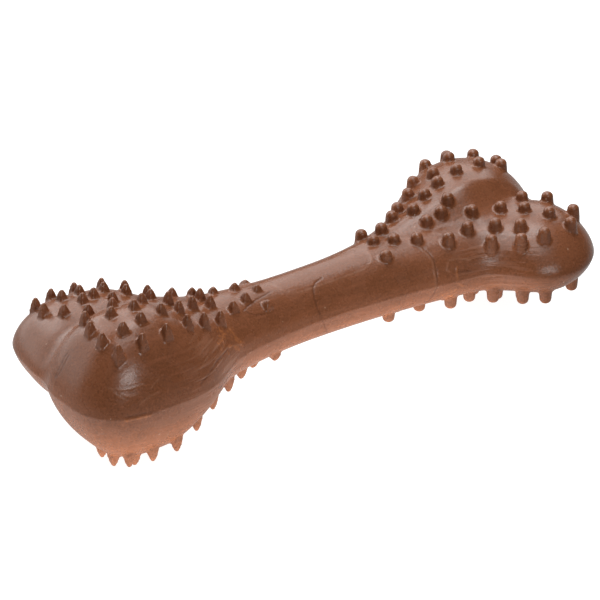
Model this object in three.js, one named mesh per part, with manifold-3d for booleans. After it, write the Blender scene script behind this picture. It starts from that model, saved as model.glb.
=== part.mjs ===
// Dog chew bone: one solid rubber moulding with square spikes on one end and round studs on the other.
// Millimetres. +Z is up, +X runs along the bone towards the studded end, -Y is the side facing the viewer.
// The mould's parting line lies at z = 0 while the shapes are made, and the group is lifted at the end.

import * as THREE from 'three';
import { mergeVertices } from 'three/addons/utils/BufferGeometryUtils.js';
import Module from 'manifold-3d';

// Shaft: the waisted bar between the two ends
const shaftWaistX = -5;
const shaftHalfWidth = 10.1;
const shaftHalfHeight = 9;
const flareDistance = 40;
const spikedFlareWidth = 6.7;
const spikedFlareHeight = 2.9;
const studdedFlareWidth = 3.6;
const studdedFlareHeight = 0.6;
const spikedRootX = 39.5;
const studdedRootX = 51;

// Label panel: the flat place on top of the shaft
const panelCentreX = 1.5;
const panelLength = 31;
const panelWidth = 12;
const panelDepth = 0.45;

// How far the two ends reach from the middle of the bone, and how much shorter the far spiked lobe is
const spikedReach = 81.2;
const spikedFarSetback = 2.8;
const studdedReach = 81.4;

// Spiked end, near lobe
const spikedNearOffset = 6.3;
const spikedNearHalfLength = 20.1;
const spikedNearHalfWidth = 17.3;
const spikedNearHalfHeight = 19.2;
const spikedNearTurn = 0;

// Spiked end, far lobe
const spikedFarOffset = 13.9;
const spikedFarHalfLength = 18.9;
const spikedFarHalfWidth = 18;
const spikedFarHalfHeight = 12.8;
const spikedFarTurn = 9.7;

// Studded end, near lobe
const studdedNearOffset = 10;
const studdedNearHalfLength = 15.8;
const studdedNearHalfWidth = 18.8;
const studdedNearHalfHeight = 10.6;
const studdedNearTurn = 21.9;

// Studded end, far lobe
const studdedFarOffset = 16;
const studdedFarHalfLength = 17.5;
const studdedFarHalfWidth = 15.7;
const studdedFarHalfHeight = 12.6;
const studdedFarTurn = 21.6;

// Roundness of the lobes: in plan, over the crown, and at the parting line
const spikedPlanPower = 3;
const spikedCrownPower = 2.4;
const spikedEdgePower = 1.27;
const studdedPlanPower = 2.04;
const studdedCrownPower = 2.36;
const studdedEdgePower = 1.2;
const edgeRounding = 1.5;

// Fillets where the lobes run into each other and into the shaft: on the studded end the far lobe
// runs into the shaft in a long ramp, and one fillet turns into the other over the middle of the neck
const spikedLobeFillet = 2.5;
const studdedLobeFillet = 3;
const spikedNeckFillet = 9.9;
const studdedNearNeckFillet = 5.8;
const studdedFarNeckFillet = 25.4;
const neckBlend = 6;

// Seams: where the pressed lumps of rubber met round each neck
const spikedSeamX = -40;
const studdedSeamX = 31.5;

// Spikes: square and blunt, all standing along the mould's draw, lower towards the shaft
const spikeFoot = 3.3;
const spikeTip = 1;
const spikeCrownHeight = 2.6;
const spikeSlopeGain = 0.2;
const spikeNeckShare = 0.35;
const spikeNeckX = 19.6;
const spikeFullX = 44;
const spikeUndersideShift = 2;

// Studs: round, slightly tapered, with domed tops, taller down the slopes
const studFoot = 3.6;
const studTop = 2.9;
const studDome = 1.3;
const studCrownHeight = 2.6;
const studSlopeGain = 0.3;
const studNeckShare = 0.7;
const studNeckX = 17.9;
const studFullX = 40;
const studUndersideShift = 1;

// Places of the spikes and studs, row by row: the share of the lobe's reach along the bone,
// and the share of the lobe's width across it
const spikedNearPlaces = [
  [0.233, 0.034], [0.243, 0.284], [0.299, 0.144], [0.366, 0.246], [0.430, -0.059],
  [0.430, 0.127], [0.443, 0.386], [0.501, 0.153], [0.521, 0.470], [0.567, 0.025],
  [0.574, 0.267], [0.605, 0.576], [0.685, 0.140], [0.669, 0.419], [0.771, 0.034],
  [0.734, 0.246], [0.754, 0.475], [0.702, 0.686], [0.810, 0.212], [0.824, 0.504],
  [0.793, 0.699], [0.865, -0.004], [0.885, 0.203], [0.890, 0.453], [0.876, 0.678],
];

const spikedFarPlaces = [
  [0.227, 0.182], [0.300, 0.075], [0.372, 0.119], [0.436, 0.188], [0.510, 0.204],
  [0.543, 0.433], [0.574, 0.276], [0.619, 0.461], [0.584, 0.611], [0.640, 0.740],
  [0.698, 0.361], [0.680, 0.555], [0.783, 0.470], [0.736, 0.492], [0.755, 0.624],
  [0.730, 0.803], [0.807, 0.301], [0.862, 0.442], [0.816, 0.649], [0.879, 0.799],
  [0.812, 0.828], [0.893, 0.624],
];

const studdedNearPlaces = [
  [0.240, 0.174], [0.259, -0.090], [0.316, 0.010], [0.380, 0.122], [0.462, -0.035],
  [0.468, 0.271], [0.525, -0.045], [0.571, -0.115], [0.620, 0.073], [0.555, 0.240],
  [0.588, 0.472], [0.641, 0.344], [0.666, 0.635], [0.721, 0.142], [0.703, 0.497],
  [0.738, 0.719], [0.830, 0.076], [0.775, 0.302], [0.821, 0.503], [0.904, 0.194],
  [0.856, 0.694], [0.934, 0.472],
];

const studdedFarPlaces = [
  [0.318, 0.170], [0.265, 0.265], [0.393, 0.278], [0.457, 0.196], [0.442, 0.366],
  [0.536, 0.303], [0.521, 0.479], [0.602, 0.344], [0.585, 0.621], [0.686, 0.360],
  [0.633, 0.508], [0.693, 0.808], [0.746, 0.656], [0.792, 0.394], [0.791, 0.833],
  [0.894, 0.416], [0.870, 0.719], [0.948, 0.650],
];

// How deep the foot of a spike or stud runs into the bone at its lowest corner
const footBite = 0.8;

// Rubber
const rubberColour = 0x6b4330;
const rubberRoughness = 0.48;
const rubberMetalness = 0;

// Fineness of the meshes
const lobeStations = 18;
const shaftStations = 12;
const ringSteps = 13;
const studSides = 10;
const domeSteps = 3;
const panelCurveSteps = 10;
const searchSteps = 40;
const sweepSteps = 90;
const mergeDistance = 1e-4;
const shortestEdge = 0.005;
const flattestSlope = 0.5;

const spikes = {
  shapeOf: spikeShape, foot: spikeFoot, shift: spikeUndersideShift,
  crownHeight: spikeCrownHeight, slopeGain: spikeSlopeGain,
  neckShare: spikeNeckShare, neckX: spikeNeckX, fullX: spikeFullX,
};

const studs = {
  shapeOf: studShape, foot: studFoot, shift: studUndersideShift,
  crownHeight: studCrownHeight, slopeGain: studSlopeGain,
  neckShare: studNeckShare, neckX: studNeckX, fullX: studFullX,
};

const lobes = [
  {
    name: 'spiked_near_lobe', end: -1, side: -1, teeth: spikes, places: spikedNearPlaces,
    reach: spikedReach, offset: spikedNearOffset, turn: spikedNearTurn,
    halfLength: spikedNearHalfLength, halfWidth: spikedNearHalfWidth, halfHeight: spikedNearHalfHeight,
    plan: spikedPlanPower, crown: spikedCrownPower, edge: spikedEdgePower,
  },
  {
    name: 'spiked_far_lobe', end: -1, side: 1, teeth: spikes, places: spikedFarPlaces,
    reach: spikedReach - spikedFarSetback, offset: spikedFarOffset, turn: spikedFarTurn,
    halfLength: spikedFarHalfLength, halfWidth: spikedFarHalfWidth, halfHeight: spikedFarHalfHeight,
    plan: spikedPlanPower, crown: spikedCrownPower, edge: spikedEdgePower,
  },
  {
    name: 'studded_near_lobe', end: 1, side: -1, teeth: studs, places: studdedNearPlaces,
    reach: studdedReach, offset: studdedNearOffset, turn: studdedNearTurn,
    halfLength: studdedNearHalfLength, halfWidth: studdedNearHalfWidth, halfHeight: studdedNearHalfHeight,
    plan: studdedPlanPower, crown: studdedCrownPower, edge: studdedEdgePower,
  },
  {
    name: 'studded_far_lobe', end: 1, side: 1, teeth: studs, places: studdedFarPlaces,
    reach: studdedReach, offset: studdedFarOffset, turn: studdedFarTurn,
    halfLength: studdedFarHalfLength, halfWidth: studdedFarHalfWidth, halfHeight: studdedFarHalfHeight,
    plan: studdedPlanPower, crown: studdedCrownPower, edge: studdedEdgePower,
  },
];

const ends = [
  {
    end: -1, seamX: spikedSeamX, lobeFillet: spikedLobeFillet,
    nearNeckFillet: spikedNeckFillet, farNeckFillet: spikedNeckFillet,
    lobes: lobes.filter((lobe) => lobe.end < 0),
  },
  {
    end: 1, seamX: studdedSeamX, lobeFillet: studdedLobeFillet,
    nearNeckFillet: studdedNearNeckFillet, farNeckFillet: studdedFarNeckFillet,
    lobes: lobes.filter((lobe) => lobe.end > 0),
  },
];

// The middle of each lobe along the bone, set back from its reach by its own turned outline, and its rise
for (const lobe of lobes) {
  lobe.cos = Math.cos(THREE.MathUtils.degToRad(lobe.turn));
  lobe.sin = Math.sin(THREE.MathUtils.degToRad(lobe.turn));
  lobe.middle = lobe.reach - Math.hypot(lobe.halfLength * lobe.cos, lobe.halfWidth * lobe.sin);
  lobe.rise = Math.hypot(lobe.halfHeight, edgeRounding) - edgeRounding;
}

// The crease between the two lobes of an end lies where their widths share the distance between them
for (const end of ends) {
  const [near, far] = end.lobes;
  const share = far.offset * near.halfWidth - near.offset * far.halfWidth;
  end.crease = share / (near.halfWidth + far.halfWidth);
}

// Room round the bone that every search stays inside
const widest = Math.max(...lobes.map((lobe) => lobe.offset + Math.max(lobe.halfWidth, lobe.halfLength)));
const largestFillet = Math.max(...ends.map((end) => (
  Math.max(end.lobeFillet, end.nearNeckFillet, end.farNeckFillet)
)));
const longest = Math.max(...lobes.map((lobe) => lobe.reach)) + largestFillet;
const highest = Math.max(...lobes.map((lobe) => lobe.halfHeight));
const highestTooth = Math.max(...[spikes, studs].map(({ crownHeight, slopeGain }) => (
  crownHeight + slopeGain * highest
)));
const tallest = highest + highestTooth + largestFillet;

// Body of the bone: a field that is negative inside it

function fillet(a, b, radius) {
  const near = Math.max(radius - Math.abs(a - b), 0) / radius;
  return Math.min(a, b) - near * near * radius / 4;
}

function lobeField(lobe, x, y, z) {
  const along = lobe.end * x - lobe.middle;
  const across = lobe.side * y - lobe.offset;
  const u = Math.abs(along * lobe.cos + across * lobe.sin) / lobe.halfLength;
  const v = Math.abs(across * lobe.cos - along * lobe.sin) / lobe.halfWidth;
  const w = (Math.hypot(z, edgeRounding) - edgeRounding) / lobe.rise;
  const q = Math.max((u ** lobe.plan + v ** lobe.plan) ** (1 / lobe.plan), Number.EPSILON);
  const value = q ** lobe.crown + w ** lobe.edge - 1;
  const fall = lobe.crown * q ** (lobe.crown - 1);
  const slopeU = fall * (u / q) ** (lobe.plan - 1) / lobe.halfLength;
  const slopeV = fall * (v / q) ** (lobe.plan - 1) / lobe.halfWidth;
  const slopeW = lobe.edge * w ** (lobe.edge - 1) * Math.abs(z) / Math.hypot(z, edgeRounding) / lobe.rise;
  const flattest = flattestSlope / Math.max(lobe.halfLength, lobe.halfWidth, lobe.halfHeight);
  return value / Math.max(Math.hypot(slopeU, slopeV, slopeW), flattest);
}

function shaftField(x, y, z) {
  const away = (x - shaftWaistX) / flareDistance;
  const spiked = away < 0;
  const halfWidth = shaftHalfWidth + (spiked ? spikedFlareWidth : studdedFlareWidth) * away * away;
  const halfHeight = shaftHalfHeight + (spiked ? spikedFlareHeight : studdedFlareHeight) * away * away;
  const beyond = Math.max(spiked ? -x - spikedRootX : x - studdedRootX, 0) / shaftHalfWidth;
  const size = Math.hypot(y / halfWidth, z / halfHeight, beyond) + Number.EPSILON;
  const slope = Math.hypot(y / halfWidth ** 2, z / halfHeight ** 2, beyond / shaftHalfWidth);
  return size * (size - 1) / (slope + Number.EPSILON);
}

function boneField(x, y, z) {
  let field = shaftField(x, y, z);
  const farShare = THREE.MathUtils.smoothstep(y, -neckBlend, neckBlend);
  for (const { lobeFillet, nearNeckFillet, farNeckFillet, lobes: [near, far] } of ends) {
    const pair = fillet(lobeField(near, x, y, z), lobeField(far, x, y, z), lobeFillet);
    const neckFillet = THREE.MathUtils.lerp(nearNeckFillet, farNeckFillet, farShare);
    field = fillet(field, pair, neckFillet);
  }
  return field;
}

// The place between an inside and an outside value where the test changes
function edgeBetween(inside, outside, isInside) {
  let low = inside;
  let high = outside;
  for (let step = 0; step < searchSteps; step += 1) {
    const middle = (low + high) / 2;
    if (isInside(middle)) {
      low = middle;
    } else {
      high = middle;
    }
  }
  return low;
}

function topHeight(x, y) {
  if (boneField(x, y, 0) >= 0) {
    return 0;
  }
  return edgeBetween(0, tallest, (z) => boneField(x, y, z) < 0);
}

// The deepest place of a cross-section between two values of y
function deepestY(x, low, high) {
  let best = low;
  for (let step = 1; step <= sweepSteps; step += 1) {
    const y = THREE.MathUtils.lerp(low, high, step / sweepSteps);
    if (boneField(x, y, 0) < boneField(x, best, 0)) {
      best = y;
    }
  }
  return best;
}

// How far a cross-section runs at the parting line, from its deepest place towards a limit
function sectionEnd(x, deepest, limit) {
  const isInside = (y) => boneField(x, y, 0) < 0;
  let last = deepest;
  for (let step = 1; step <= sweepSteps; step += 1) {
    const next = THREE.MathUtils.lerp(deepest, limit, step / sweepSteps);
    if (!isInside(next)) {
      return edgeBetween(last, next, isInside);
    }
    last = next;
  }
  return limit;
}

function sectionSpan(x, low, high) {
  const deepest = deepestY(x, low, high);
  return [sectionEnd(x, deepest, low), sectionEnd(x, deepest, high)];
}

// Each piece has the stretch of the bone between two values of x and two of y

const regions = [{
  name: 'shaft', lowY: -widest, highY: widest,
  stations: Array.from({ length: shaftStations + 1 }, (unused, index) => (
    THREE.MathUtils.lerp(spikedSeamX, studdedSeamX, index / shaftStations)
  )),
}];

for (const { end, seamX, crease, lobes: pair } of ends) {
  for (const lobe of pair) {
    const lowY = lobe.side < 0 ? -widest : crease;
    const highY = lobe.side < 0 ? crease : widest;
    const reaches = (x) => boneField(x, deepestY(x, lowY, highY), 0) < 0;
    const tipX = edgeBetween(end * lobe.middle, end * longest, reaches);
    const stations = Array.from({ length: lobeStations + 1 }, (unused, index) => (
      THREE.MathUtils.lerp(seamX, tipX, Math.sin(Math.PI / 2 * index / lobeStations))
    ));
    regions.push({ name: lobe.name, lowY, highY, stations: end < 0 ? stations.reverse() : stations });
  }
}

// Solids

const wasm = await Module();
wasm.setup();

function solidOf(geometry) {
  const bare = new THREE.BufferGeometry();
  bare.setAttribute('position', geometry.getAttribute('position'));
  bare.setIndex(geometry.getIndex());
  const merged = mergeVertices(bare, mergeDistance);
  const corners = merged.getIndex().array;
  const triangles = [];
  for (let index = 0; index < corners.length; index += 3) {
    const [a, b, c] = corners.slice(index, index + 3);
    if (a !== b && b !== c && c !== a) {
      triangles.push(a, b, c);
    }
  }
  return new wasm.Manifold(new wasm.Mesh({
    numProp: 3,
    vertProperties: new Float32Array(merged.getAttribute('position').array),
    triVerts: new Uint32Array(triangles),
  }));
}

function geometryOf(solid) {
  const mesh = solid.getMesh();
  const geometry = new THREE.BufferGeometry();
  geometry.setAttribute('position', new THREE.BufferAttribute(mesh.vertProperties, mesh.numProp));
  geometry.setIndex(new THREE.BufferAttribute(mesh.triVerts, 1));
  geometry.computeVertexNormals();
  return geometry;
}

// A stretch of the bone's body: cross-sections, each mirrored at the parting line, joined one to the next
function bodyOf({ stations, lowY, highY }) {
  const positions = [];
  const triangles = [];
  const ringSize = 2 * (ringSteps + 1);
  for (const x of stations) {
    const [first, last] = sectionSpan(x, lowY, highY);
    const upper = Array.from({ length: ringSteps + 1 }, (unused, index) => {
      const y = THREE.MathUtils.lerp(first, last, (1 - Math.cos(Math.PI * index / ringSteps)) / 2);
      return [x, y, topHeight(x, y)];
    });
    for (const [px, py, pz] of upper) {
      positions.push(px, py, pz);
    }
    for (const [px, py, pz] of upper.reverse()) {
      positions.push(px, py, -pz);
    }
  }
  const addQuad = (a, b, c, d) => triangles.push(a, b, c, a, c, d);
  for (let station = 0; station < stations.length - 1; station += 1) {
    for (let step = 0; step < ringSize; step += 1) {
      const here = station * ringSize + step;
      const next = station * ringSize + (step + 1) % ringSize;
      addQuad(here, here + ringSize, next + ringSize, next);
    }
  }
  const lastRing = (stations.length - 1) * ringSize;
  for (let step = 0; step < ringSteps; step += 1) {
    const under = ringSize - 1 - step;
    addQuad(step, step + 1, under - 1, under);
    addQuad(lastRing + step, lastRing + under, lastRing + under - 1, lastRing + step + 1);
  }
  const geometry = new THREE.BufferGeometry();
  geometry.setAttribute('position', new THREE.Float32BufferAttribute(positions, 3));
  geometry.setIndex(triangles);
  return solidOf(geometry);
}

// Everything from one end of a stretch to the other, as tall as the bone
function roomOf({ stations, lowY, highY }) {
  const [firstX, lastX] = [stations[0], stations[stations.length - 1]];
  const room = new THREE.BoxGeometry(lastX - firstX, highY - lowY, 2 * tallest);
  room.translate((firstX + lastX) / 2, (lowY + highY) / 2, 0);
  return solidOf(room);
}

// A spike's shape, standing along its own Y axis until it is turned to stand along Z
function spikeShape(height) {
  const [tipCorner, footCorner] = [spikeTip, spikeFoot].map((side) => side * Math.SQRT1_2);
  const shape = new THREE.CylinderGeometry(tipCorner, footCorner, height, 4, 1, false, Math.PI / 4);
  shape.translate(0, height / 2, 0);
  return shape;
}

// A stud's shape, standing along its own Y axis in the same way
function studShape(height) {
  const profile = [new THREE.Vector2(0, 0), new THREE.Vector2(studFoot / 2, 0)];
  for (let step = 0; step < domeSteps; step += 1) {
    const angle = Math.PI / 2 * step / domeSteps;
    const radius = studTop / 2 * Math.cos(angle);
    profile.push(new THREE.Vector2(radius, height - studDome + studDome * Math.sin(angle)));
  }
  profile.push(new THREE.Vector2(0, height));
  return new THREE.LatheGeometry(profile, studSides);
}

// How far a spike or stud stands out of the ground: more down the slopes, less towards the shaft
function toothHeight(lobe, x, ground) {
  const { crownHeight, slopeGain, neckShare, neckX, fullX } = lobe.teeth;
  const full = crownHeight + slopeGain * Math.max(lobe.halfHeight - ground, 0);
  const out = THREE.MathUtils.clamp((Math.abs(x) - neckX) / (fullX - neckX), 0, 1);
  return full * THREE.MathUtils.lerp(neckShare, 1, out);
}

// The spikes and studs above and below, on every place whose ground carries the whole foot
const teeth = [];

for (const lobe of lobes) {
  const { shapeOf, foot, shift } = lobe.teeth;
  for (const [along, across] of lobe.places) {
    for (const face of [1, -1]) {
      const x = lobe.end * along * lobe.reach + (face < 0 ? shift : 0);
      const y = lobe.side * across * (lobe.offset + lobe.halfWidth);
      const corners = [[-1, -1], [1, -1], [1, 1], [-1, 1]];
      const lowest = Math.min(...corners.map(([i, j]) => topHeight(x + i * foot / 2, y + j * foot / 2)));
      const ground = topHeight(x, y);
      if (lowest > footBite) {
        const root = lowest - footBite;
        const height = ground - root + toothHeight(lobe, x, ground);
        teeth.push({ shapeOf, face, x, y, root, height, half: foot / 2 });
      }
    }
  }
}

// The spikes and studs whose feet reach into a stretch of the bone
function teethOf({ stations, lowY, highY }) {
  const [firstX, lastX] = [stations[0], stations[stations.length - 1]];
  const inside = teeth.filter(({ x, y, half }) => (
    x + half > firstX && x - half < lastX && y + half > lowY && y - half < highY
  ));
  return inside.map(({ shapeOf, face, x, y, root, height }) => {
    const shape = shapeOf(height);
    shape.rotateX(face * Math.PI / 2);
    shape.translate(x, y, face * root);
    return solidOf(shape);
  });
}

// The space above the label panel
function panelSpace() {
  const radius = panelWidth / 2;
  const straight = panelLength / 2 - radius;
  const outline = new THREE.Shape();
  outline.absarc(straight, 0, radius, -Math.PI / 2, Math.PI / 2, false);
  outline.absarc(-straight, 0, radius, Math.PI / 2, 3 * Math.PI / 2, false);
  const space = new THREE.ExtrudeGeometry(outline, {
    depth: tallest, bevelEnabled: false, curveSegments: panelCurveSteps,
  });
  space.translate(panelCentreX, 0, shaftHalfHeight - panelDepth);
  return solidOf(space);
}

// Assembly

const bone = new THREE.Group();

for (const region of regions) {
  let solid = bodyOf(region);
  if (region.name === 'shaft') {
    solid = solid.subtract(panelSpace());
  }
  for (const tooth of teethOf(region)) {
    solid = solid.add(tooth);
  }
  solid = solid.intersect(roomOf(region)).simplify(shortestEdge);
  const rubber = new THREE.MeshStandardMaterial({
    color: rubberColour, roughness: rubberRoughness, metalness: rubberMetalness,
  });
  const mesh = new THREE.Mesh(geometryOf(solid), rubber);
  mesh.name = region.name;
  bone.add(mesh);
}

// The bone stands on its lowest tips, with the origin under the middle of it
const box = new THREE.Box3().setFromObject(bone);
const middle = box.getCenter(new THREE.Vector3());
bone.position.set(-middle.x, -middle.y, -box.min.z);

export default bone;
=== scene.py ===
import math
from collections import namedtuple

import bmesh
import bpy
import numpy as np
from mathutils import Matrix, Vector
from mathutils.kdtree import KDTree


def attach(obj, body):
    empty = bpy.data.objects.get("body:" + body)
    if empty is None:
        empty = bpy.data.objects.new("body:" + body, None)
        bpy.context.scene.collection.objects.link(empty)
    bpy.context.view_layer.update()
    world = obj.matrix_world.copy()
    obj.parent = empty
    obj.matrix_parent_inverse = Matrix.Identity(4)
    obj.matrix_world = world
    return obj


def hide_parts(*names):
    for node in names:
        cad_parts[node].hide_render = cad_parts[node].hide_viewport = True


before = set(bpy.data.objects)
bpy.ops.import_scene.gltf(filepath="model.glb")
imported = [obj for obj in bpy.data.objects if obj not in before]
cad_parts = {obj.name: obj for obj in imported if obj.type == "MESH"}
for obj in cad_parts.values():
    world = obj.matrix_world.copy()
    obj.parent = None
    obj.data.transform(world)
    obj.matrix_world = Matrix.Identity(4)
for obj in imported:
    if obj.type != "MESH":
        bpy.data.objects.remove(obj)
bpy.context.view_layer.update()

# Dog chew bone in chocolate-brown rubber: the shapes are made in millimetres in the bone's own frame,
# with the parting line at z = 0, and are moved into the row frame in metres at the end.
ROW_SHIFT = np.array([-0.21, -2.515, 21.699])
MM = 0.001
SEED = 7
TINY = 1e-9

# Shaft
WAIST_X = -5.0
SHAFT_HALF_WIDTH = 10.1
SHAFT_HALF_HEIGHT = 9.0
FLARE_DISTANCE = 40.0
SPIKED_FLARE = (6.7, 2.9)
STUDDED_FLARE = (3.6, 0.6)
SPIKED_ROOT_X = 39.5
STUDDED_ROOT_X = 51.0

# Label panel
PANEL_X = 1.5
PANEL_LENGTH = 31.0
PANEL_WIDTH = 12.0
PANEL_FLOOR = 8.55
PANEL_PRESS = 0.25
PANEL_RIM = (-1.2, 0.1)
PANEL_LINE_LIFT = 0.07
PANEL_LINE_WIDTH = 0.24
PANEL_LINE_POINTS = 97

# Lobes: length, width and height are halves, turn is in degrees, and plan, crown and edge are powers
Lobe = namedtuple("Lobe", "end side reach offset length width height turn plan crown edge")
LOBES = {
    "spiked_near": Lobe(-1, -1, 81.2, 6.3, 20.1, 17.3, 19.2, 0.0, 3.0, 2.4, 1.27),
    "spiked_far": Lobe(-1, 1, 78.4, 13.9, 18.9, 18.0, 12.8, 9.7, 3.0, 2.4, 1.27),
    "studded_near": Lobe(1, -1, 81.4, 10.0, 15.8, 18.8, 10.6, 21.9, 2.04, 2.36, 1.2),
    "studded_far": Lobe(1, 1, 81.4, 16.0, 17.5, 15.7, 12.6, 21.6, 2.04, 2.36, 1.2),
}
EDGE_ROUNDING = 1.5
LEAST_SLOPE = 0.5
SPIKED_LOBE_FILLET = 2.5
STUDDED_LOBE_FILLET = 3.0
SPIKED_NECK_FILLET = 9.9
STUDDED_NECK_FILLETS = (5.8, 25.4)
NECK_BLEND = 6.0

# Cuts between the pieces
SPIKED_SEAM_X = -40.0
STUDDED_SEAM_X = 31.5
SPIKED_CREASE_Y = 3.6
STUDDED_CREASE_Y = 4.168
SHARP_ANGLE = 65

# Parting edge: its height, how fast it falls away, and how far out on a tooth it has ended
PARTING_LIFT = 0.3
PARTING_FALL = 0.9
PARTING_END = 0.6

# Spikes and studs
SPIKE_TIP = 0.8
SPIKE_SHOULDER = 1.8
SPIKE_FOOT = 2.55
SPIKE_ROOT = 2.75
SPIKE_FACE_HEIGHT = 2.6
SPIKE_TIP_SHARE = 0.4
SPIKE_UNDERSIDE_SHIFT = 2.0
STUD_TOP = 3.25
STUD_FOOT = 3.65
STUD_ROOT = 3.8
STUD_DOME = 1.3
STUD_SIDES = 32
STUD_RINGS = 16
STUD_FACE_HEIGHT = 2.4
STUD_UNDERSIDE_SHIFT = 1.0
ROOT_DEPTH = 4.0
ROOT_OVERLAP = 0.05
TOOTH_TURN = 0.08

# Heights of teeth: on a crown, gain for each mm below it, share kept at the neck, start and end of the rise
Rise = namedtuple("Rise", "crown gain neck start full")
SPIKE_RISE = Rise(2.6, 0.2, 0.35, 19.6, 44.0)
STUD_RISE = Rise(2.6, 0.3, 0.7, 17.9, 40.0)
HIGHEST_GROUND = 30.0
GROUND_ROUNDS = 40

# Feet of teeth: how far out a tooth starts and is clear of its foot, and how much each part is eased
TOOTH_START = 0.3
TOOTH_CLEAR = 0.8
TOOTH_EASE = 0.2
FOOT_EASE_MORE = 0.3
BARE_LIMIT = 0.04

# Places of the spikes and studs on the upper side
SPIKE_PLACES = [
    (-68.9, 25.5), (-63.7, 26.4), (-57.2, 25.6), (-50.2, 23.6), (-45.8, 19.5), (-42.6, 13.8),
    (-40.0, 6.5), (-34.2, 6.0), (-29.2, 3.8), (-23.5, 2.4), (-17.8, 5.8), (-70.0, 19.9),
    (-64.0, 20.7), (-59.2, 19.9), (-57.7, 15.7), (-53.3, 17.7), (-48.5, 14.7), (-45.0, 8.8),
    (-46.0, -0.6), (-18.9, -0.8), (-67.6, 14.1), (-61.4, 15.0), (-54.7, 11.5), (-55.6, -3.3),
    (-46.6, -6.3), (-40.7, -3.6), (-34.9, 1.4), (-34.9, -3.0), (-24.3, -3.4), (-63.3, 9.6),
    (-62.6, -0.8), (-70.2, 0.1), (-65.8, -5.0), (-59.6, -5.8), (-54.3, -9.9), (-71.9, -4.8),
    (-61.2, -11.2), (-49.1, -13.6), (-42.3, -11.1), (-36.0, -9.1), (-29.7, -5.8), (-19.7, -6.7),
    (-72.3, -10.7), (-66.9, -11.9), (-57.0, -16.2), (-64.4, -16.5), (-71.1, -16.0),
]

STUD_PLACES = [
    (21.6, 8.4), (21.1, 2.6), (25.9, 5.4), (25.7, -0.3), (19.5, -5.0), (32.0, 8.8), (36.0, 11.6),
    (42.4, 15.2), (47.6, 19.7), (56.4, 25.6), (51.5, 16.1), (49.0, 10.9), (43.6, 9.6), (37.2, 6.2),
    (37.6, 1.0), (30.9, -3.5), (42.7, 1.3), (46.5, 3.3), (55.8, 11.4), (60.7, 20.8), (64.4, 26.4),
    (70.8, 22.8), (64.5, 12.5), (77.2, 20.6), (72.8, 13.2), (38.1, -7.8), (45.2, -6.9), (50.5, -2.1),
    (52.2, -9.9), (47.9, -13.6), (58.7, -4.1), (57.2, -14.3), (54.2, -18.3), (63.1, -8.7), (67.6, -2.2),
    (60.1, -20.7), (66.8, -14.5), (73.6, -5.6), (76.0, -13.6), (69.7, -20.0),
]

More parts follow.
